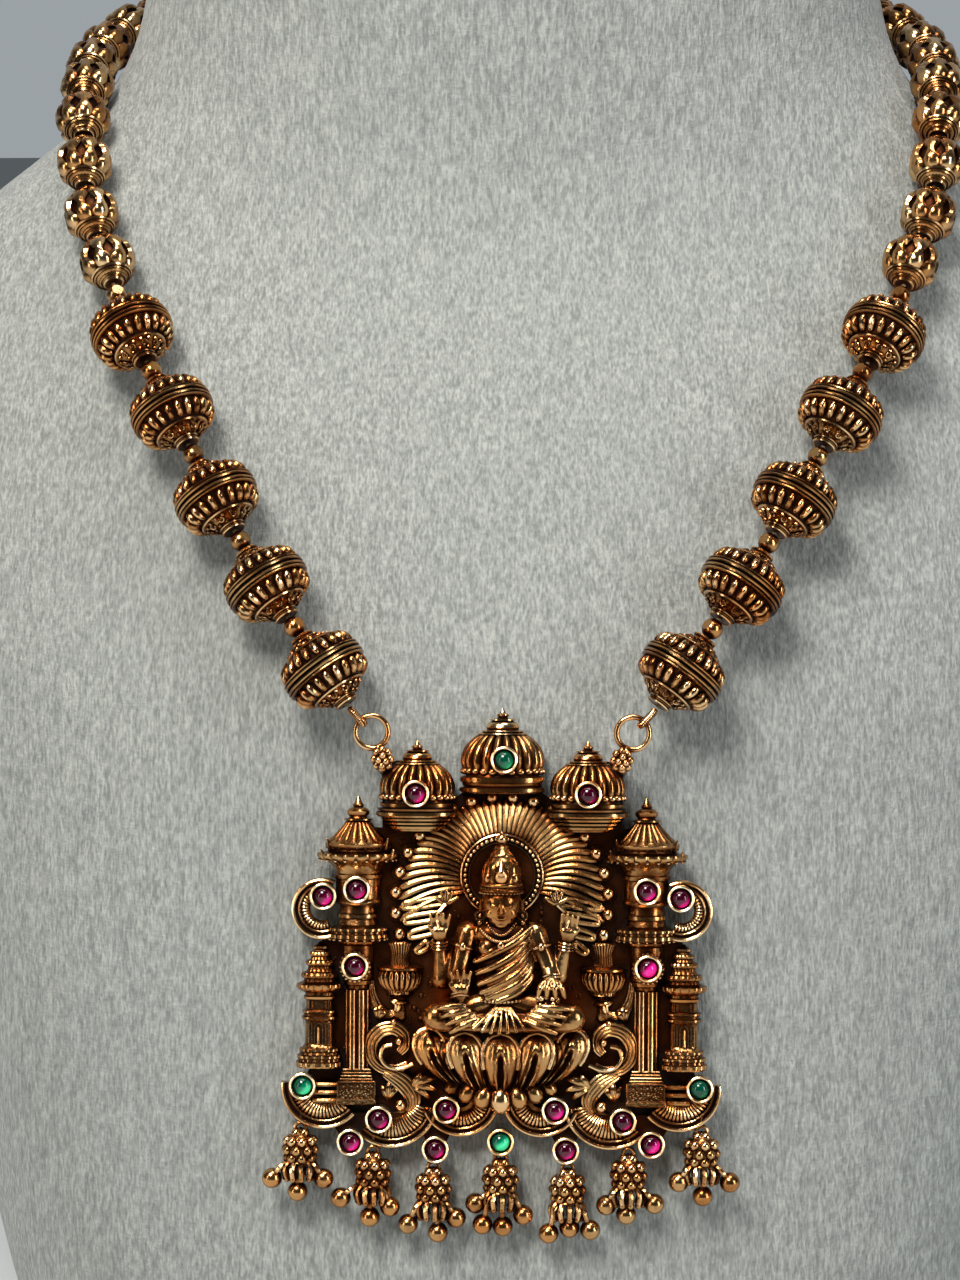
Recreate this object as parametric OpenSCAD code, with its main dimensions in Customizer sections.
// Temple jewellery necklace on a plain neck bust.
// The bust stands on its flat base, its front faces -Y and its width runs along X.
// The strand lies on the bust, and the pendant lies against the chest.

/* [Neck bust] */
// Width of the bust across the shoulders
bust_w = 218; // [206:1:230]
// Height from the flat base to the top of the neck
bust_h = 250; // [238:1:264]
// Depth that the chest and back sections are shares of
bust_d = 144; // [134:1:154]
// Rounding of the top and bottom edges
bust_edge = 2; // [1:0.5:3]

/* [Strand] */
// Greatest width of a large ribbed bead
large_d = 13.2; // [12.4:0.1:14]
// Length of a large bead along the thread
large_l = 12.6; // [11.8:0.1:13.2]
// Diameter of a round openwork bead
small_d = 9.5; // [9:0.1:10]
// Length of a round openwork bead along the thread
small_l = 9.4; // [8.8:0.1:9.8]
// Diameter of the plain balls between the large beads
spacer_d = 3.2; // [2.8:0.1:3.6]
// Diameter of the bore through every bead
bore_d = 1.8; // [1.6:0.1:2]
// Diameter of the thread
thread_d = 0.8; // [0.6:0.1:0.9]
// Least gap between neighbours on the thread
bead_gap = 0.15; // [0.1:0.05:0.3]
// Least gap between round beads, whose ends close up where the thread bends
round_gap = 0.5; // [0.4:0.05:0.7]
// Diameter of the plain barrel clasp
clasp_d = 5; // [4:0.5:6]
// Length of the plain barrel clasp
clasp_l = 12; // [10:0.5:14]

/* [Links] */
// Outer diameter of a jump ring
ring_d = 5.7; // [5.4:0.1:6.2]
// Wire of a jump ring
ring_wire = 0.55; // [0.5:0.05:0.6]
// Thickness of the coiled wire in a tie loop
coil_d = 0.9; // [0.8:0.05:1]

/* [Pendant] */
// Width over the side scrolls
pend_w = 64; // [61:0.5:67]
// Height from the lowest rim to the tip of the centre dome
pend_h = 68; // [65:0.5:71]
// Thickness of the backing plate
plate_t = 1.2; // [1:0.1:1.6]
// Gap between the plate and the chest
chest_gap = 0.3; // [0.2:0.05:0.5]
// Gap between the backing plate and what is seated on it
seat_gap = 0.05; // [0.04:0.01:0.1]
// Diameter of the centre dome
dome_d = 11.8; // [11:0.1:12.6]
// Diameter of a side dome
side_dome_d = 10.6; // [10:0.1:11.4]
// Width of a tower over its eaves
tower_w = 10.2; // [9.6:0.1:10.8]
// Width of a side shrine over its eaves
shrine_w = 6.4; // [6:0.1:6.8]
// Diameter of the balls round the sunburst
border_ball_d = 1.8; // [1.6:0.1:2]
// Number of balls round the sunburst
border_balls = 20; // [16:1:24]
// Number of rays in the sunburst
ray_count = 38; // [30:2:44]

/* [Stones] */
// Diameter of a cabochon
stone_d = 2.9; // [2.7:0.1:3.1]
// Height of a cabochon over its seat
stone_h = 1.3; // [1.1:0.1:1.5]
// Wall of a bezel
bezel_wall = 0.55; // [0.45:0.05:0.65]
// Clearance of a stone in its bezel
stone_gap = 0.05; // [0.03:0.01:0.08]

/* [Drops] */
// Diameter of a drop's granulated cap
cap_d = 3.9; // [3.6:0.1:4.2]
// Diameter of a drop's hanging balls
ball_d = 2.7; // [2.4:0.1:3]
// Wire of the drops, their rings and their eyes
drop_wire = 0.5; // [0.4:0.05:0.6]

/* [Hidden] */
$fn = 48;

// Where the upright axis of the bust's sections lies, so that the whole part is centred
axis_y = 24;

// Sections of the bust: height as a share of bust_h, half width as a share of bust_w / 2,
// depth in front of and behind the axis as shares of bust_d, and squareness
bust_rows = [
  [0.000, 0.790, 0.694, 0.146, 3.0],
  [0.120, 0.862, 0.660, 0.188, 2.9],
  [0.240, 0.927, 0.618, 0.229, 2.8],
  [0.360, 0.972, 0.576, 0.264, 2.7],
  [0.440, 0.991, 0.549, 0.285, 2.6],
  [0.520, 1.000, 0.493, 0.299, 2.5],
  [0.600, 1.000, 0.427, 0.306, 2.4],
  [0.660, 0.982, 0.365, 0.306, 2.3],
  [0.704, 0.917, 0.326, 0.306, 2.2],
  [0.736, 0.826, 0.306, 0.299, 2.2],
  [0.768, 0.716, 0.299, 0.299, 2.2],
  [0.800, 0.628, 0.299, 0.292, 2.2],
  [0.848, 0.583, 0.299, 0.292, 2.2],
  [0.920, 0.560, 0.306, 0.292, 2.2],
  [1.000, 0.550, 0.312, 0.299, 2.2]
];

// Route of the strand from a jump ring to the nape: turn round the bust from its front in
// degrees, height as a share of bust_h, and lift from the small beads' (0) to the large
// beads' height over the bust (1). The other side is its mirror image.
strand_route = [
  [7.5, 0.435, 0.90],
  [9.0, 0.452, 1.00],
  [13.6, 0.498, 1.00],
  [18.2, 0.546, 1.00],
  [23.0, 0.595, 1.00],
  [28.0, 0.638, 1.00],
  [34.0, 0.683, 0.30],
  [40.0, 0.713, 0.00],
  [47.0, 0.740, 0.05],
  [56.0, 0.764, 0.20],
  [68.0, 0.786, 0.40],
  [82.0, 0.810, 0.40],
  [95.0, 0.831, 0.25],
  [107.0, 0.848, 0.00],
  [124.0, 0.864, 0.00],
  [148.0, 0.878, 0.00],
  [180.0, 0.884, 0.00]
];

// Row of a table at x, by a smooth curve through its rows
function row_index(t, x, i = 0) =
  i >= len(t) - 2 || t[i + 1][0] > x ? i : row_index(t, x, i + 1);
function slope_at(t, i) =
  let (a = max(i - 1, 0), b = min(i + 1, len(t) - 1)) (t[b] - t[a]) / (t[b][0] - t[a][0]);
function smooth_row(t, x) =
  let (
    i = row_index(t, x),
    w = t[i + 1][0] - t[i][0],
    u = (x - t[i][0]) / w
  )
  (2 * u^3 - 3 * u^2 + 1) * t[i] + (u^3 - 2 * u^2 + u) * w * slope_at(t, i)
  + (3 * u^2 - 2 * u^3) * t[i + 1] + (u^3 - u^2) * w * slope_at(t, i + 1);

// Point on the bust at a turn from its front, positive to the right, and a height.
// inset draws the section in towards the axis.
function bust_point(turn, h, inset = 0) =
  let (
    row = smooth_row(bust_rows, h / bust_h),
    depth = (cos(turn) > 0 ? row[2] : row[3]) * bust_d - inset,
    half = row[1] * bust_w / 2 - inset,
    power = 2 / row[4]
  )
  [
    sign(sin(turn)) * half * pow(abs(sin(turn)), power),
    axis_y - sign(cos(turn)) * depth * pow(abs(cos(turn)), power),
    h
  ];
function unit(v) = v / norm(v);
probe = 0.5;
function bust_normal(turn, h) =
  unit(cross(
    bust_point(turn + probe, h) - bust_point(turn - probe, h),
    bust_point(turn, h + probe) - bust_point(turn, h - probe)
  ));

// Thread height over the bust, under the small and the large beads
rest_gap = 0.3;
small_lift = small_d / 2 + rest_gap;
large_lift = large_d / 2 + rest_gap;

// Route of one side as points in space, six steps between two rows
route_steps = 6;
route_turns = [for (i = [0:len(strand_route) - 1]) [i, each strand_route[i]]];
function route_point(u) =
  let (
    row = smooth_row(route_turns, u),
    turn = row[1],
    h = row[2] * bust_h,
    lift = small_lift + row[3] * (large_lift - small_lift)
  )
  bust_point(turn, h) + lift * bust_normal(turn, h);
side_path = [
  for (k = [0:(len(strand_route) - 1) * route_steps]) route_point(k / route_steps)
];
side_runs = [
  for (i = 0, s = 0; i < len(side_path); i = i + 1,
    s = s + (i < len(side_path) ? norm(side_path[i] - side_path[i - 1]) : 0)) s
];
side_length = side_runs[len(side_runs) - 1];
function along(s, c) = lookup(s, [for (i = [0:len(side_path) - 1]) [side_runs[i], side_path[i][c]]]);
function strand_point(s) = [along(s, 0), along(s, 1), along(s, 2)];
function strand_heading(s) = unit(strand_point(s + probe) - strand_point(s - probe));

// Places along one side of the thread, from the jump ring
tail_l = 0.4;
large_pitch = large_l + spacer_d + 2 * bead_gap;
large_count = 5;
function large_place(k) = tail_l + large_l / 2 + (k - 1) * large_pitch;
function spacer_place(k) = large_place(k) + large_pitch / 2;
small_start = spacer_place(large_count) + spacer_d / 2 + bead_gap;
small_end = side_length - clasp_l / 2 - bead_gap;
small_count = floor((small_end - small_start) / (small_l + round_gap));
small_pitch = (small_end - small_start) / small_count;
function small_place(k) = small_start + (k - 0.5) * small_pitch;

// Stands a piece on the thread at a place, with its own Z along the thread
module on_thread(s) {
  p = strand_point(s);
  d = strand_heading(s);
  translate(p) rotate([0, acos(d[2]), atan2(d[1], d[0])]) children();
}

// Tells the sides apart: 1 keeps the right-hand side, -1 mirrors it to the left
module on_side(side) {
  if (side > 0) children();
  else mirror([1, 0, 0]) children();
}

// The pendant's own frame: X to the right, Z up in the plate's plane, the plate's front at y = 0
pend_z = 0.304 * bust_h;
lean_span = 0.12 * bust_h;
lean = atan2(
  bust_point(0, pend_z + lean_span)[1] - bust_point(0, pend_z - lean_span)[1],
  2 * lean_span
);
chest_point = bust_point(0, pend_z);
plate_back = plate_t + chest_gap;
pend_origin = chest_point + plate_back * [0, -cos(lean), sin(lean)];
module on_chest() {
  translate(pend_origin) rotate([-lean, 0, 0]) children();
}
function chest_lift(p) =
  (pend_origin[1] - p[1]) * cos(lean) + (p[2] - pend_origin[2]) * sin(lean);
function chest_up(p) =
  (p[1] - pend_origin[1]) * sin(lean) + (p[2] - pend_origin[2]) * cos(lean);
function chest_place(p) = pend_origin + [
  p[0],
  p[1] * cos(lean) + p[2] * sin(lean),
  p[2] * cos(lean) - p[1] * sin(lean)
];

// Places in the pendant are shares of its half width and half height
function at_x(s) = s * pend_w / 2;
function at_z(s) = s * pend_h / 2;

// Draws in the plate's plane: X stays, Y becomes up, and extrusion goes to the front
module raised(x = 0, z = 0, lift = 0) {
  translate([x, -lift, z]) rotate([90, 0, 0]) children();
}

// Front half of a turned form on the plate, with its ribs worked into its outline.
// rows hold height, radius and how far the ribs stand out as a share of the radius.
function turned_point(row, turn, ribs, flatten) =
  let (r = row[1] * (1 + row[2] * (abs(cos(ribs * turn / 2)) - 0.6)))
  [-r * cos(turn), -r * sin(turn) * flatten, row[0]];
module turned(rows, ribs = 0, facets = 4, flatten = 0.85) {
  m = ribs > 0 ? ribs * facets / 2 : facets;
  n = len(rows);
  w = m + 1;
  points = [
    for (row = rows) for (j = [0:m])
      turned_point(ribs > 0 ? row : [row[0], row[1], 0], 180 * j / m, ribs, flatten)
  ];
  sides = [
    for (i = [0:n - 2]) for (j = [0:m - 1])
      each [
        [i * w + j, i * w + w + j, i * w + j + 1],
        [i * w + j + 1, i * w + w + j, i * w + w + j + 1]
      ]
  ];
  backs = [
    for (i = [0:n - 2])
      each [
        [i * w + m, i * w + w + m, i * w],
        [i * w, i * w + w + m, i * w + w]
      ]
  ];
  bottom = [[for (j = [0:m]) j]];
  top = [[for (j = [m:-1:0]) (n - 1) * w + j]];
  polyhedron(points = points, faces = concat(sides, backs, bottom, top), convexity = 6);
}

// Stones and bezels: place across and up, and height of the seat
tower_x = 0.679;
bezel_d = stone_d + 2 * stone_gap + 2 * bezel_wall;
bezel_rise = 0.75 * stone_h;
seat_dome_centre = [0.010, 0.772, 4.9];
seat_dome_side = [0.402, 0.621, 4.5];
seat_tower = [0.679, 0.194, 2.7];
seat_volute = [tower_x + 0.499 * tower_w / at_x(1), 0.162, 1.9];
seat_column = [0.686, -0.146, 2.1];
seat_side = [0.931, -0.676, 1.9];
seat_scroll = [0.572, -0.821, 1.9];
seat_inner = [0.255, -0.776, 1.9];
seat_low_outer = [0.706, -0.924, 1.5];
seat_low_inner = [0.306, -0.953, 1.5];
seat_bottom = [0.000, -0.918, 1.5];
// Adds a bezel at each seat and cuts its pocket through what carries it
module set_with(seats) {
  difference() {
    union() {
      children();
      for (seat = seats)
        raised(at_x(seat[0]), at_z(seat[1]), seat_gap) cylinder(d = bezel_d, h = seat[2] + bezel_rise);
    }
    for (seat = seats)
      raised(at_x(seat[0]), at_z(seat[1]), seat_gap + seat[2])
        cylinder(d = stone_d + 2 * stone_gap, h = 3 * stone_h);
  }
}
module stone(seat, tint) {
  cap_r = 0.62 * stone_d;
  color(tint) on_chest() raised(at_x(seat[0]), at_z(seat[1]), seat_gap + seat[2] + stone_gap)
    intersection() {
      cylinder(d = stone_d, h = stone_h);
      translate([0, 0, stone_h - cap_r]) sphere(r = cap_r);
    }
}
ruby = "crimson";
emerald = "seagreen";
gold = "goldenrod";
old_gold = "darkgoldenrod";

// Plain bust, one closed form with a flat base
bust_rings = 23;
bust_sides = 40;
module neck_bust() {
  heights = [
    [0, bust_edge],
    for (i = [0:bust_rings]) [
      bust_edge + (bust_h - 2 * bust_edge) * i / bust_rings, 0
    ],
    [bust_h, bust_edge]
  ];
  points = [
    for (ring = heights) for (j = [0:bust_sides - 1])
      bust_point(360 * (j + 0.5) / bust_sides - 180, ring[0], ring[1])
  ];
  top = len(heights) - 1;
  walls = [
    for (i = [0:top - 1]) for (j = [0:bust_sides - 1])
      let (a = i * bust_sides + j, b = i * bust_sides + (j + 1) % bust_sides)
      each [[a, a + bust_sides, b], [b, a + bust_sides, b + bust_sides]]
  ];
  base = [[for (j = [0:bust_sides - 1]) j]];
  crown = [[for (j = [bust_sides - 1:-1:0]) top * bust_sides + j]];
  color("lightslategray")
    polyhedron(points = points, faces = concat(walls, base, crown), convexity = 6);
}

// Thread through the beads, a whole loop from ring to ring
thread_sides = 5;
module bead_thread() {
  first = 0.2;
  step = 5;
  count = floor((side_length - first) / step);
  right = [for (k = [0:count - 1]) first + (side_length - first) * k / count];
  places = concat(
    [for (s = right) [s, 1]],
    [[side_length, 0]],
    [for (k = [count - 1:-1:0]) [right[k], -1]]
  );
  centres = [
    for (p = places)
      let (q = strand_point(p[0])) [p[1] * q[0], q[1], q[2]]
  ];
  last = len(centres) - 1;
  points = [
    for (i = [0:last])
      let (
        d = unit(centres[min(i + 1, last)] - centres[max(i - 1, 0)]),
        u = unit(cross(d, [0, 0.35, 1])),
        v = cross(d, u)
      )
      for (j = [0:thread_sides - 1])
        centres[i] + thread_d / 2
          * (cos(360 * j / thread_sides) * u + sin(360 * j / thread_sides) * v)
  ];
  walls = [
    for (i = [0:last - 1]) for (j = [0:thread_sides - 1])
      let (a = i * thread_sides + j, b = i * thread_sides + (j + 1) % thread_sides)
      each [[a, b, a + thread_sides], [b, b + thread_sides, a + thread_sides]]
  ];
  start = [[for (j = [thread_sides - 1:-1:0]) j]];
  end = [[for (j = [0:thread_sides - 1]) last * thread_sides + j]];
  color("saddlebrown")
    polyhedron(points = points, faces = concat(walls, start, end), convexity = 10);
}

// Large bead: two ribbed cones against a split belt, with a filigree cone and a collar
// at each end. Rows hold the place along the bead and the radius as shares.
large_rows = [
  [0.500, 0.130], [0.500, 0.150], [0.440, 0.165], [0.425, 0.150], [0.400, 0.165],
  [0.330, 0.265], [0.315, 0.290], [0.290, 0.290], [0.275, 0.330], [0.215, 0.400],
  [0.150, 0.447], [0.105, 0.468], [0.090, 0.455], [0.080, 0.500], [0.025, 0.500],
  [0.015, 0.470]
];
module large_bead_form() {
  half = [for (r = large_rows) [r[1] * large_d, r[0] * large_l]];
  under = [for (i = [len(half) - 1:-1:0]) [half[i][0], -half[i][1]]];
  color(gold) rotate_extrude()
    polygon(concat([[bore_d / 2, large_l / 2]], half, under, [[bore_d / 2, -large_l / 2]]));
}
module large_bead(k, side) {
  on_side(side) on_thread(large_place(k)) large_bead_form();
}

// Round openwork bead with a rim ring at each end
small_rows = [
  [0.500, 0.225], [0.450, 0.250], [0.430, 0.290], [0.350, 0.385], [0.200, 0.470],
  [0.070, 0.500]
];
module small_bead_form() {
  half = [for (r = small_rows) [r[1] * small_d, r[0] * small_l]];
  under = [for (i = [len(half) - 1:-1:0]) [half[i][0], -half[i][1]]];
  rotate_extrude()
    polygon(concat([[bore_d / 2, small_l / 2]], half, under, [[bore_d / 2, -small_l / 2]]));
}
module small_beads(side) {
  color(gold) on_side(side)
    for (k = [1:small_count]) on_thread(small_place(k)) small_bead_form();
}
module spacer_beads() {
  color(gold) for (side = [-1, 1]) for (k = [1:large_count])
    on_side(side) on_thread(spacer_place(k)) difference() {
      sphere(d = spacer_d);
      cylinder(d = bore_d, h = 2 * spacer_d, center = true);
    }
}
module clasp() {
  edge = 0.12 * clasp_d;
  color(gold) translate(strand_point(side_length)) rotate([0, 90, 0]) rotate_extrude()
    polygon([
      [bore_d / 2, -clasp_l / 2], [clasp_d / 2 - 2 * edge, -clasp_l / 2],
      [clasp_d / 2, -clasp_l / 2 + 2 * edge], [clasp_d / 2, clasp_l / 2 - 2 * edge],
      [clasp_d / 2 - 2 * edge, clasp_l / 2], [bore_d / 2, clasp_l / 2]
    ]);
}

// Jump ring parallel to the plate, between the bail and the strand's end, which carries it.
// Its centre lies coil_reach from that end, down a way that leans from the plate's X.
coil_reach = 5.09;
coil_way = 46;
strand_end = strand_point(0);
ring_place = [
  strand_end[0] - coil_reach * cos(coil_way),
  -chest_lift(strand_end),
  chest_up(strand_end) - coil_reach * sin(coil_way)
];
ring_r = (ring_d - ring_wire) / 2;
link_gap = 0.15;
module jump_ring(side) {
  color(gold) on_side(side) on_chest() translate(ring_place) rotate([90, 0, 0])
    rotate_extrude() translate([ring_r, 0]) circle(d = ring_wire, $fn = 24);
}

// Closed loop of coiled wire round the jump ring's wire, up to the first bead.
// It lies across the ring, in the plane of its own way and the chest's normal.
coil_bend = (coil_d + ring_wire) / 2 + link_gap;
module coil_loop(side) {
  centre = chest_place(ring_place);
  way = unit(strand_end - centre);
  near = ring_r - ring_wire / 2 - link_gap + coil_bend - coil_d / 2;
  straight = coil_reach - near - coil_bend - coil_d / 2 - bead_gap;
  tilt = acos(way[2]);
  heading = atan2(way[1], way[0]);
  chest_normal = [0, cos(lean), -sin(lean)];
  across = [cos(tilt) * cos(heading), cos(tilt) * sin(heading), -sin(tilt)];
  aside = [-sin(heading), cos(heading), 0];
  color(gold) on_side(side) translate(centre + near * way)
    rotate([0, tilt, heading])
    rotate([0, 0, atan2(chest_normal * aside, chest_normal * across)]) {
      for (x = [-coil_bend, coil_bend])
        translate([x, 0, 0]) cylinder(d = coil_d, h = straight, $fn = 24);
      rotate([-90, 0, 0]) coil_half();
      translate([0, 0, straight]) rotate([90, 0, 0]) coil_half();
    }
}
module coil_half() {
  rotate_extrude(angle = 180) translate([coil_bend, 0]) circle(d = coil_d, $fn = 24);
}

// Backing plate, half outline from the top to the bottom as shares
plate_rows = [
  [0.000, 0.880], [0.060, 0.860], [0.140, 0.800], [0.170, 0.720], [0.180, 0.630],
  [0.225, 0.600], [0.245, 0.680], [0.300, 0.735], [0.400, 0.765], [0.500, 0.765],
  [0.575, 0.740], [0.570, 0.460], [0.620, 0.470], [0.680, 0.520], [0.740, 0.440],
  [0.800, 0.350], [0.760, 0.220], [0.780, 0.000], [0.850, -0.020], [0.890, -0.150],
  [0.900, -0.600], [0.960, -0.680], [0.940, -0.760], [0.860, -0.830], [0.700, -0.850],
  [0.560, -0.880], [0.420, -0.860], [0.300, -0.870], [0.180, -0.850], [0.080, -0.800],
  [0.000, -0.790]
];
sun_z = 0.132;
sun_r = at_x(0.502);
halo_z = 0.256;
halo_r = at_x(0.197);
halo_rise = 0.9;
halo_rim = 0.7;
ray_rise = 0.6;
// Length of a ray from the halo's centre to the inside of the ball border
function ray_reach(a) =
  let (
    r = sun_r - border_ball_d / 2 - 0.1,
    d = at_z(halo_z - sun_z),
    b = d * sin(a)
  )
  -b + sqrt(b^2 + r^2 - d^2);
module pendant_plate() {
  outline = concat(
    [for (p = plate_rows) [at_x(p[0]), at_z(p[1])]],
    [for (i = [len(plate_rows) - 2:-1:1]) [-at_x(plate_rows[i][0]), at_z(plate_rows[i][1])]]
  );
  ray_low = -38;
  border_low = -17;
  color(old_gold) on_chest() {
    raised(0, 0, -plate_t) linear_extrude(plate_t) polygon(outline);
    for (k = [0:ray_count - 1])
      sun_ray(ray_low + (180 - 2 * ray_low) * k / (ray_count - 1));
    for (k = [0:border_balls - 1]) {
      a = border_low + (180 - 2 * border_low) * k / (border_balls - 1);
      translate([sun_r * cos(a), -0.3 * border_ball_d, at_z(sun_z) + sun_r * sin(a)])
        sphere(d = border_ball_d);
    }
    raised(0, at_z(halo_z)) cylinder(r = halo_r - 0.2, h = halo_rise);
    raised(0, at_z(halo_z), halo_rise) rotate_extrude()
      translate([halo_r - halo_rim / 2, 0]) circle(d = halo_rim, $fn = 24);
    for (side = [-1, 1]) on_side(side) {
      bail();
      urn();
    }
  }
}
// Room round the sunburst and its halo for what is seated over them
module sun_room(rise) {
  raised(0, at_z(sun_z), -plate_t) cylinder(r = sun_r + border_ball_d / 2 + 2 * seat_gap, h = rise);
}
module halo_room() {
  raised(0, at_z(halo_z), -plate_t)
    cylinder(r = halo_r + 2 * seat_gap, h = plate_t + halo_rise + halo_rim / 2 + 2 * seat_gap);
}
// Ribbed urn beside the figure. Rows hold height and radius as shares of the urn's width.
urn_w = 6.6;
urn_rows = [
  [-1.120, 0.140, 0.00], [-0.720, 0.140, 0.00], [-0.700, 0.240, 0.00], [-0.600, 0.180, 0.00],
  [-0.540, 0.300, 0.00], [-0.480, 0.300, 0.00], [-0.380, 0.420, 0.12],
  [-0.180, 0.500, 0.12], [0.000, 0.460, 0.12], [0.030, 0.520, 0.00], [0.100, 0.500, 0.00],
  [0.140, 0.280, 0.00], [0.620, 0.200, 0.00], [0.720, 0.090, 0.00]
];
module urn() {
  rows = [for (r = urn_rows) [r[0] * urn_w, r[1] * urn_w, r[2]]];
  translate([at_x(0.478), plate_t / 4, at_z(-0.170)]) turned(rows, 14, 2, 0.75);
}
module sun_ray(a) {
  inner = halo_r - 0.6;
  outer = ray_reach(a);
  spread = 180 / ray_count;
  wide = 0.62 * outer * sin(spread);
  thin = 0.5 * inner * sin(spread);
  raised(0, at_z(halo_z)) rotate([0, 0, a]) linear_extrude(ray_rise)
    polygon([
      [inner, -thin], [outer - wide, -wide], [outer - 0.3 * wide, -0.7 * wide],
      [outer, 0], [outer - 0.3 * wide, 0.7 * wide], [outer - wide, wide], [inner, thin]
    ]);
}
// Bail: an upright loop round the jump ring's wire, on a lug of the plate
bail_way = -112;
bail_r = 1.15;
bail_wire = 0.7;
module bail() {
  way = [cos(bail_way), 0, sin(bail_way)];
  reach = ring_r + bail_r - bail_wire / 2 - ring_wire / 2 - link_gap;
  hook = ring_place + reach * way;
  foot = [at_x(0.562), plate_t / 2, at_z(0.718)];
  translate(hook) rotate([0, -bail_way, 0])
    rotate_extrude() translate([bail_r, 0]) circle(d = bail_wire, $fn = 24);
  limb(hook + (bail_r + 0.1) * way, 0.5, foot, 0.5);
}

// Tapered round bar between two points
module limb(p, p_r, q, q_r, facets = 9) {
  hull() {
    translate(p) sphere(r = p_r, $fn = facets);
    translate(q) sphere(r = q_r, $fn = facets);
  }
}

// The figure and the lotus are laid out in millimetres on a pendant of this width and height,
// and they follow the pendant when its own differ
carved_w = 64;
carved_h = 68;
module carved() {
  scale([pend_w / carved_w, pend_h / carved_h, pend_h / carved_h]) children();
}

// Seated figure with a tall crown, two raised and two lowered hands
figure_depth = 3.1;
module seated_figure() {
  color(gold) on_chest() difference() {
    translate([0, -figure_depth, 0]) carved() figure_form();
    translate([-pend_w, -seat_gap, -pend_h]) cube([2 * pend_w, pend_w, 2 * pend_h]);
    sun_room(plate_t + ray_rise + 2 * seat_gap);
    halo_room();
    translate([-pend_w, -pend_w, at_z(lotus_top) + seat_gap - pend_h])
      cube([2 * pend_w, 2 * pend_w, pend_h]);
  }
}
module both_sides() {
  children();
  mirror([1, 0, 0]) children();
}
module figure_form() {
  // Trunk
  hull() {
    translate([0, 0, 0.2]) scale([1.45, 0.85, 1]) sphere(r = 3.1, $fn = 14);
    translate([0, 0, -6.8]) scale([1.2, 0.9, 1]) sphere(r = 2.5, $fn = 12);
  }
  hull() both_sides() translate([3.9, 0.3, 0.6]) sphere(r = 1.7, $fn = 10);
  limb([0, -0.2, 2.2], 1.5, [0, 0, 0.5], 1.9);
  // Head, ears and crown
  translate([0, -1.2, 4.6]) scale([0.9, 0.95, 1.15]) sphere(r = 3.1, $fn = 16);
  translate([0, -3.9, 4.0]) scale([0.4, 0.5, 0.8]) sphere(r = 1.0, $fn = 8);
  both_sides() limb([2.9, -0.6, 5.2], 0.6, [3.1, -0.4, 2.8], 0.8, 8);
  translate([0, -1.0, 6.6]) cylinder(r1 = 3.2, r2 = 3.1, h = 1.0, $fn = 16);
  translate([0, -1.0, 7.5]) cylinder(r1 = 2.8, r2 = 2.6, h = 2.2, $fn = 16);
  translate([0, -1.0, 9.6]) cylinder(r1 = 2.7, r2 = 1.8, h = 1.9, $fn = 16);
  translate([0, -1.0, 11.4]) cylinder(r1 = 1.7, r2 = 0.5, h = 2.2, $fn = 12);
  translate([0, -1.0, 14.3]) sphere(r = 0.95, $fn = 12);
  limb([0, -3.9, 7.8], 0.7, [0, -3.2, 10.4], 0.35, 8);
  // Raised rear arms and lotus buds
  both_sides() {
    limb([5.0, 0.8, 0.2], 1.5, [8.4, 0.6, -5.4], 1.25);
    limb([8.4, 0.6, -5.4], 1.2, [9.3, -0.4, 0.2], 0.85);
    limb([9.3, -0.5, 0.6], 1.0, [9.5, -0.6, 2.1], 0.9);
    limb([9.4, -0.6, 2.4], 0.4, [8.3, -0.4, 5.0], 0.35, 8);
    limb([8.3, -0.4, 4.9], 1.1, [8.0, -0.4, 6.8], 0.4);
  }
  // Lowered front arms: an open palm on the left, a giving hand on the right
  limb([-4.8, -0.6, -0.4], 1.4, [-6.9, -1.4, -5.6], 1.2);
  limb([-6.9, -1.4, -5.6], 1.1, [-6.0, -2.6, -8.6], 0.8);
  limb([-5.9, -2.9, -8.4], 1.0, [-5.8, -3.0, -6.6], 0.9);
  limb([4.8, -0.6, -0.4], 1.4, [6.9, -1.2, -5.8], 1.2);
  limb([6.9, -1.2, -5.8], 1.1, [7.3, -2.6, -8.2], 0.85);
  limb([7.3, -2.6, -8.4], 1.15, [7.0, -2.7, -9.8], 0.8);
  // Crossed legs
  limb([-2.5, -0.6, -9.8], 2.4, [-9.6, -1.4, -12.4], 2.2, 10);
  limb([2.5, -0.6, -9.8], 2.4, [10.4, -1.4, -12.4], 2.2, 10);
  limb([-9.6, -1.6, -12.7], 1.8, [4.2, -2.4, -13.2], 1.3, 10);
  limb([10.4, -1.6, -12.7], 1.8, [-3.6, -2.2, -13.4], 1.3, 10);
  // Folds of the drape over the trunk
  for (k = [0:4])
    limb([-3.4 + 0.4 * k, -2.3, -3.6 - 1.1 * k], 0.45, [3.6 + 0.1 * k, -2.5, 0.6 - 1.2 * k], 0.5, 6);
  // Pleats between the feet
  for (k = [-2:2])
    limb([0.9 * k, -3.6, -11.4], 0.32, [1.7 * k, -3.9, -13.9], 0.45, 6);
}

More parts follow.
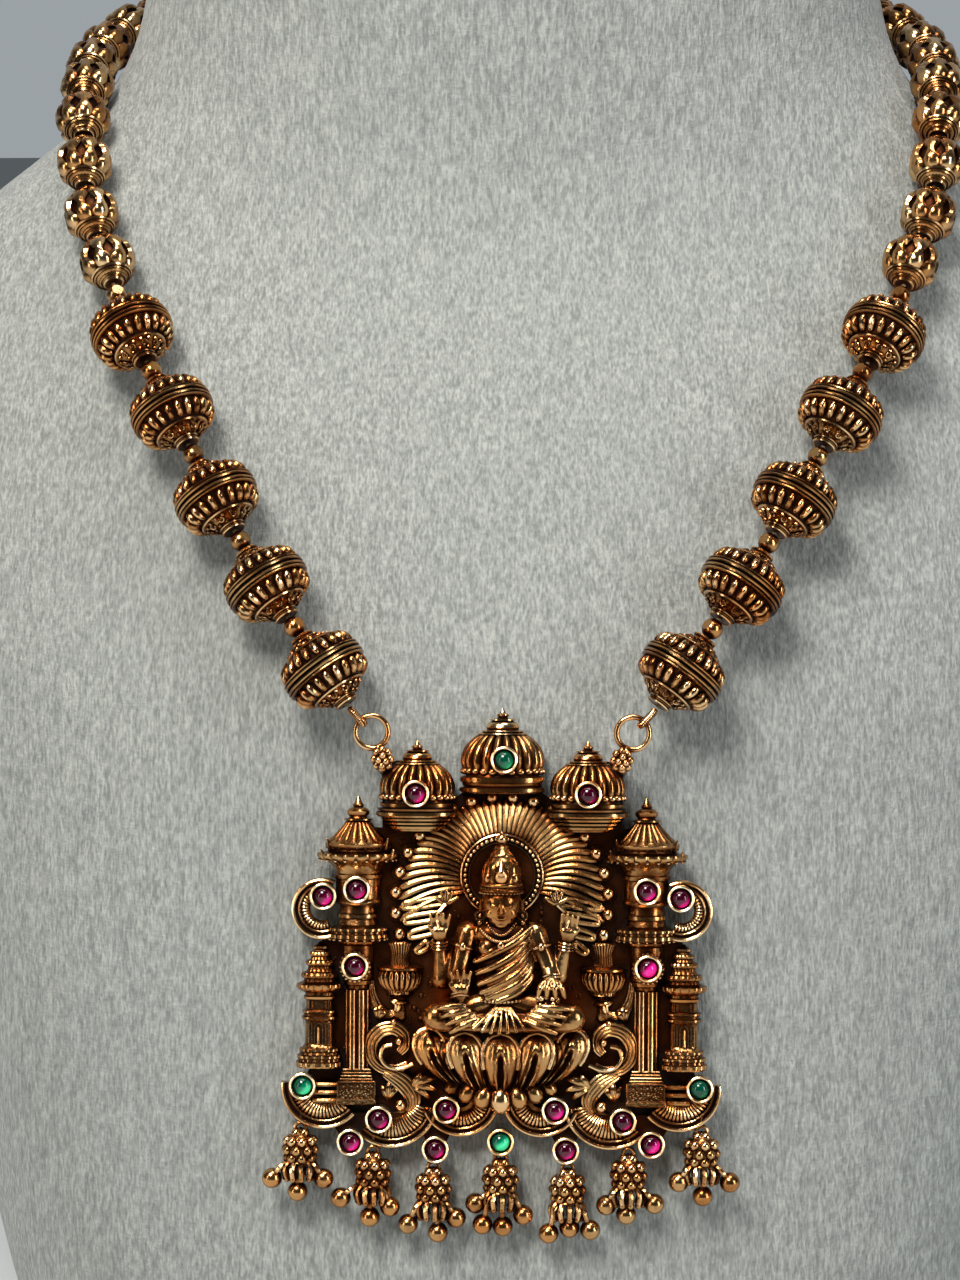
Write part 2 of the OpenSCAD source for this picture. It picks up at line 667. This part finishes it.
// Lotus seat: a half-round block with five broad petals and a row of lobes below
lotus_top = -0.43;
module lotus_seat() {
  color(gold) on_chest() difference() {
    carved() lotus_form();
    translate([-pend_w, -seat_gap, -pend_h]) cube([2 * pend_w, pend_w, 2 * pend_h]);
  }
}
module lotus_form() {
  reach = 0.345 * carved_w / 2;
  top = lotus_top * carved_h / 2;
  petals = 5;
  // Block under the petals
  hull() {
    translate([0, 0, top - 1.5]) scale([reach + 0.8, 4.6, 1]) cylinder(r = 1, h = 1.5, $fn = 28);
    translate([0, 0, top - 7.6]) scale([0.62 * reach, 3.1, 1]) cylinder(r = 1, h = 1.5, $fn = 28);
  }
  // Petals
  for (k = [0:petals - 1]) {
    a = -68 + 136 * k / (petals - 1);
    x = 1.02 * reach * sin(a);
    y = -5.3 * cos(a) + 0.1;
    hull() {
      translate([x, y, top - 2.9]) scale([1.1, 0.55, 1]) sphere(r = 2.5, $fn = 12);
      translate([0.93 * x, 0.95 * y, top - 4.8]) scale([1, 0.6, 1]) sphere(r = 2.1, $fn = 10);
      translate([0.66 * x, 0.75 * y, top - 7.9]) sphere(r = 0.9, $fn = 8);
    }
  }
  // Lobes below
  for (a = [-64:18.3:64])
    limb([0.50 * reach * sin(a), -3.2 * cos(a), top - 8.0], 0.95,
      [0.40 * reach * sin(a), -2.6 * cos(a), top - 9.4], 0.75, 8);
}

// Ribbed domes over mouldings. Rows hold height over the dome's foot and radius as shares of
// the dome's diameter, and how far its ribs stand out.
dome_ribs = 22;
dome_rows = [
  [0.000, 0.460, 0.10], [0.110, 0.495, 0.13], [0.240, 0.500, 0.13], [0.370, 0.455, 0.13],
  [0.480, 0.350, 0.13], [0.550, 0.240, 0.10], [0.565, 0.190, 0.00], [0.620, 0.200, 0.00],
  [0.650, 0.110, 0.00], [0.690, 0.140, 0.00], [0.720, 0.110, 0.00], [0.750, 0.040, 0.00],
  [0.840, 0.015, 0.00]
];
centre_base_rows = [
  [-0.229, 0.480, 0.00], [-0.215, 0.545, 0.00], [-0.150, 0.545, 0.00], [-0.140, 0.500, 0.00],
  [-0.085, 0.510, 0.00], [-0.075, 0.540, 0.00], [-0.015, 0.540, 0.00]
];
side_base_rows = [
  [-0.430, 0.340, 0.00], [-0.330, 0.360, 0.00], [-0.320, 0.480, 0.00], [-0.240, 0.500, 0.00],
  [-0.230, 0.560, 0.00], [-0.120, 0.590, 0.00], [-0.110, 0.500, 0.00], [-0.015, 0.500, 0.00]
];
module dome(x, z, d, base_rows) {
  rows = [for (r = concat(base_rows, dome_rows)) [r[0] * d, r[1] * d, r[2]]];
  difference() {
    translate([at_x(x), -seat_gap, at_z(z)]) turned(rows, dome_ribs, 3);
    sun_room(3 * plate_t + dome_d);
  }
}
module dome_centre() {
  color(gold) on_chest() set_with([seat_dome_centre])
    dome(0.000, 0.702, dome_d, centre_base_rows);
}
module dome_side(side) {
  color(gold) on_side(side) on_chest() set_with([seat_dome_side])
    dome(0.402, 0.587, side_dome_d, side_base_rows);
}

// Tower with a bell roof over a body, a column and a carved block. Rows hold height as
// a share of the pendant's half height and radius as a share of the tower's width.
tower_rows = [
  [-0.770, 0.280], [-0.660, 0.280], [-0.650, 0.230], [-0.610, 0.230], [-0.600, 0.160],
  [-0.240, 0.150], [-0.220, 0.220], [-0.060, 0.220], [-0.050, 0.300], [-0.025, 0.460],
  [0.020, 0.460], [0.030, 0.300], [0.120, 0.260], [0.130, 0.340], [0.240, 0.340],
  [0.300, 0.350], [0.315, 0.480], [0.335, 0.590], [0.355, 0.590], [0.370, 0.430],
  [0.395, 0.490], [0.410, 0.440], [0.445, 0.310], [0.490, 0.170], [0.530, 0.150],
  [0.560, 0.090], [0.600, 0.030]
];
module tower(side) {
  rows = [for (r = tower_rows) [at_z(r[0]), r[1] * tower_w]];
  color(old_gold) on_side(side) on_chest() set_with([seat_tower, seat_column, seat_volute]) {
    translate([at_x(tower_x), -seat_gap, 0]) turned(rows, 0, 8, 0.8);
    volute();
  }
}
// Fluted crescent on a tower's outer side
volute_x = tower_x + 0.524 * tower_w / at_x(1);
volute_r = 0.451 * tower_w;
module volute() {
  crescent(volute_x, 0.104, volute_r, -120, 120, 18, 0.5);
}

// Small stepped side shrine
shrine_x = 0.857;
shrine_rows = [
  [-0.597, 0.530], [-0.575, 0.550], [-0.565, 0.490], [-0.535, 0.450], [-0.510, 0.430],
  [-0.500, 0.350], [-0.385, 0.350], [-0.378, 0.400], [-0.362, 0.400], [-0.355, 0.330],
  [-0.270, 0.330], [-0.255, 0.460], [-0.242, 0.530], [-0.230, 0.530], [-0.222, 0.400],
  [-0.195, 0.420], [-0.180, 0.400], [-0.172, 0.280], [-0.135, 0.320], [-0.125, 0.220],
  [-0.095, 0.240], [-0.085, 0.140], [-0.045, 0.030]
];
module shrine(side) {
  rows = [for (r = shrine_rows) [at_z(r[0]), r[1] * shrine_w]];
  color(old_gold) on_side(side) on_chest() difference() {
    translate([at_x(shrine_x), -seat_gap, 0]) turned(rows, 0, 6, 0.9);
    raised(at_x(shrine_x), 0, 0.24 * shrine_w) linear_extrude(shrine_w) {
      translate([-0.5, at_z(-0.485)]) square([1.0, at_z(0.060)]);
      translate([0, at_z(-0.425)]) circle(r = 0.5, $fn = 24);
    }
  }
}

// Crescent with two raised rims and flutes, around a place in the plate's plane
rim_w = 0.5;
module crescent(x, z, r, from, to, flutes, open = 0.3) {
  inner = open * r;
  raised(at_x(x), at_z(z), seat_gap) rotate([0, 0, from]) {
    rotate_extrude(angle = to - from) polygon([
      [inner, 0], [r, 0], [r, 1.7], [r - 0.5 * rim_w, 2.0], [r - rim_w, 1.7],
      [r - 1.2 * rim_w, 1.1], [r - 1.8 * rim_w, 1.1], [r - 2.0 * rim_w, 1.5],
      [r - 2.6 * rim_w, 1.5], [r - 2.8 * rim_w, 0.8], [inner, 1.0]
    ]);
    for (k = [0.5:flutes - 0.5]) rotate([0, 0, (to - from) * k / flutes])
      translate([0.5 * r, -0.16, 0.5]) cube([0.5 * r - 2.7 * rim_w, 0.32, 0.75]);
  }
}

// Bottom border: three crescents, a curled scroll, a band and their bezels on each side.
// The right-hand one carries the bezel in the middle.
band_rows = [
  [0.800, -0.840], [0.740, -0.930], [0.660, -0.920], [0.600, -0.880], [0.370, -0.880],
  [0.340, -0.960], [0.270, -0.960], [0.230, -0.880], [0.100, -0.860], [0.050, -0.930],
  [0.000, -0.930], [0.000, -0.800], [0.800, -0.800]
];
module scroll_border(side) {
  seats = [seat_side, seat_scroll, seat_inner, seat_low_outer, seat_low_inner];
  color(gold) on_side(side) on_chest() difference() {
    set_with(side > 0 ? concat(seats, [seat_bottom]) : seats) {
      crescent(0.834, -0.680, at_x(0.200), -138, 5, 15);
      crescent(0.516, -0.735, at_x(0.228), -175, -48, 14);
      crescent(0.190, -0.720, at_x(0.188), -165, -25, 14);
      curl();
      raised(0, 0, seat_gap) linear_extrude(band_t)
        polygon([for (p = band_rows) [at_x(p[0]), at_z(p[1])]]);
      for (p = side > 0 ? [0, 1, 2, 3] : [1, 2, 3]) drop_eye(drop_places[p]);
    }
    if (side < 0) middle_room();
    block_room();
  }
}
band_t = 0.9;
// Room for the right-hand border and its middle bezel
module middle_room() {
  raised(0, at_z(seat_bottom[1]), -plate_t) cylinder(d = bezel_d + 6 * seat_gap, h = bezel_d + dome_d);
  translate([-bezel_d, -pend_w, -pend_h]) cube([bezel_d + 3 * seat_gap, 2 * pend_w, 2 * pend_h]);
}
// Room round a tower's block, steps and column
module block_room() {
  gap = 3 * seat_gap;
  half = [for (r = tower_rows) if (r[0] < -0.230) [r[1] * tower_w + gap, at_z(r[0])]];
  foot = [half[0][0], half[0][1] - gap];
  right = concat([foot], half);
  left = [for (i = [len(right) - 1:-1:0]) [-right[i][0], right[i][1]]];
  raised(at_x(tower_x), 0, -pend_w) linear_extrude(2 * pend_w) polygon(concat(right, left));
}
// Curled scroll beside the lotus, whose tail runs down into the band
module curl() {
  raised(at_x(0.512), at_z(-0.515), 1.1) rotate([0, 0, -120]) rotate_extrude(angle = 230)
    translate([at_x(0.100), 0]) circle(d = at_x(0.060), $fn = 24);
  raised(at_x(0.480), at_z(-0.535), 1.3) rotate([0, 0, -170]) rotate_extrude(angle = 200)
    translate([at_x(0.053), 0]) circle(d = at_x(0.040), $fn = 24);
  raised(at_x(0.545), at_z(-0.735), 1.1) rotate([0, 0, 80]) rotate_extrude(angle = 130)
    translate([at_x(0.128), 0]) circle(d = at_x(0.050), $fn = 24);
}

// Drops: place across and up of each cap on the right-hand side, from the middle out
drop_places = [[0.000, -1.083], [0.315, -1.125], [0.600, -1.060], [0.942, -0.958]];
drop_lift = 1.45;
// Skirt of the cap: radius and height from the cap's centre as shares of cap_d
skirt_rows = [[0.00, -0.52], [0.54, -0.52], [0.60, -0.40], [0.59, -0.20], [0.49, 0.05], [0.00, 0.05]];
// Hanging balls of each drop from left to right: place across and up from the cap's
// centre as shares of the cap
drop_balls = [
  [[-1.08, -1.12], [-0.08, -1.62], [0.92, -1.12]],
  [[-1.23, -0.96], [-0.10, -1.69], [0.68, -1.28]],
  [[-0.96, -1.38], [0.19, -1.69], [0.88, -1.12]],
  [[-0.96, -0.92], [-0.68, -1.73], [0.10, -1.80], [0.88, -1.35]],
  [[-0.72, -1.69], [0.08, -1.46], [0.88, -1.54]],
  [[-0.85, -1.15], [-0.08, -1.50], [1.00, -1.08]],
  [[-0.88, -1.12], [0.04, -1.65], [1.08, -1.12]]
];
// The cap's ring and the border's eye pass through each other
ring_hole_r = 1.0;
eye_hole_r = 0.8;
ring_rise = cap_d / 2 + 0.1;
eye_rise = cap_d / 2 + 1.22;
module drop_eye(p) {
  raised(at_x(p[0]), at_z(p[1]) + eye_rise, drop_lift) rotate_extrude()
    translate([eye_hole_r, 0]) circle(d = drop_wire, $fn = 20);
  translate([at_x(p[0]), -drop_lift, at_z(p[1]) + eye_rise + eye_hole_r])
    cylinder(d = drop_wire, h = 1.6);
}
module drop(k) {
  p = drop_places[abs(k - 4)];
  color(gold) on_chest() translate([sign(k - 4) * at_x(p[0]), -drop_lift, at_z(p[1])]) {
    rotate([90, -45, 0]) sphere(d = cap_d);
    rotate_extrude() polygon(cap_d * skirt_rows);
    translate([0, 0, ring_rise]) rotate([0, 90, 0]) rotate_extrude()
      translate([ring_hole_r, 0]) circle(d = drop_wire, $fn = 20);
    for (b = drop_balls[k - 1]) {
      to = cap_d * [b[0], -0.12, b[1]];
      reach = norm(to);
      way = to / reach;
      rotate([0, acos(way[2]), atan2(way[1], way[0])]) {
        translate([0, 0, 0.3 * cap_d]) cylinder(d = drop_wire, h = reach - 0.3 * cap_d);
        translate([0, 0, reach]) sphere(d = ball_d);
      }
    }
  }
}

neck_bust();
bead_thread();
large_bead(1, -1);  // large_bead_l1
large_bead(2, -1);  // large_bead_l2
large_bead(3, -1);  // large_bead_l3
large_bead(4, -1);  // large_bead_l4
large_bead(5, -1);  // large_bead_l5
large_bead(1, 1);  // large_bead_r1
large_bead(2, 1);  // large_bead_r2
large_bead(3, 1);  // large_bead_r3
large_bead(4, 1);  // large_bead_r4
large_bead(5, 1);  // large_bead_r5
small_beads(-1);  // small_beads_left
small_beads(1);  // small_beads_right
spacer_beads();
clasp();
coil_loop(-1);  // coil_loop_left
coil_loop(1);  // coil_loop_right
jump_ring(-1);  // jump_ring_left
jump_ring(1);  // jump_ring_right
pendant_plate();
seated_figure();
lotus_seat();
dome_centre();
dome_side(-1);  // dome_left
dome_side(1);  // dome_right
tower(-1);  // tower_left
tower(1);  // tower_right
shrine(-1);  // shrine_left
shrine(1);  // shrine_right
scroll_border(-1);  // scroll_border_left
scroll_border(1);  // scroll_border_right
drop(1);  // drop_1
drop(2);  // drop_2
drop(3);  // drop_3
drop(4);  // drop_4
drop(5);  // drop_5
drop(6);  // drop_6
drop(7);  // drop_7
stone(seat_dome_centre, emerald);  // stone_dome_centre
on_side(-1) stone(seat_dome_side, ruby);  // stone_dome_left
stone(seat_dome_side, ruby);  // stone_dome_right
on_side(-1) stone(seat_tower, ruby);  // stone_tower_left
stone(seat_tower, ruby);  // stone_tower_right
on_side(-1) stone(seat_volute, ruby);  // stone_volute_left
stone(seat_volute, ruby);  // stone_volute_right
on_side(-1) stone(seat_column, ruby);  // stone_column_left
stone(seat_column, ruby);  // stone_column_right
on_side(-1) stone(seat_side, emerald);  // stone_side_left
stone(seat_side, emerald);  // stone_side_right
on_side(-1) stone(seat_scroll, ruby);  // stone_scroll_left
stone(seat_scroll, ruby);  // stone_scroll_right
on_side(-1) stone(seat_inner, ruby);  // stone_inner_left
stone(seat_inner, ruby);  // stone_inner_right
on_side(-1) stone(seat_low_outer, ruby);  // stone_low_outer_left
stone(seat_low_outer, ruby);  // stone_low_outer_right
on_side(-1) stone(seat_low_inner, ruby);  // stone_low_inner_left
stone(seat_low_inner, ruby);  // stone_low_inner_right
stone(seat_bottom, emerald);  // stone_bottom
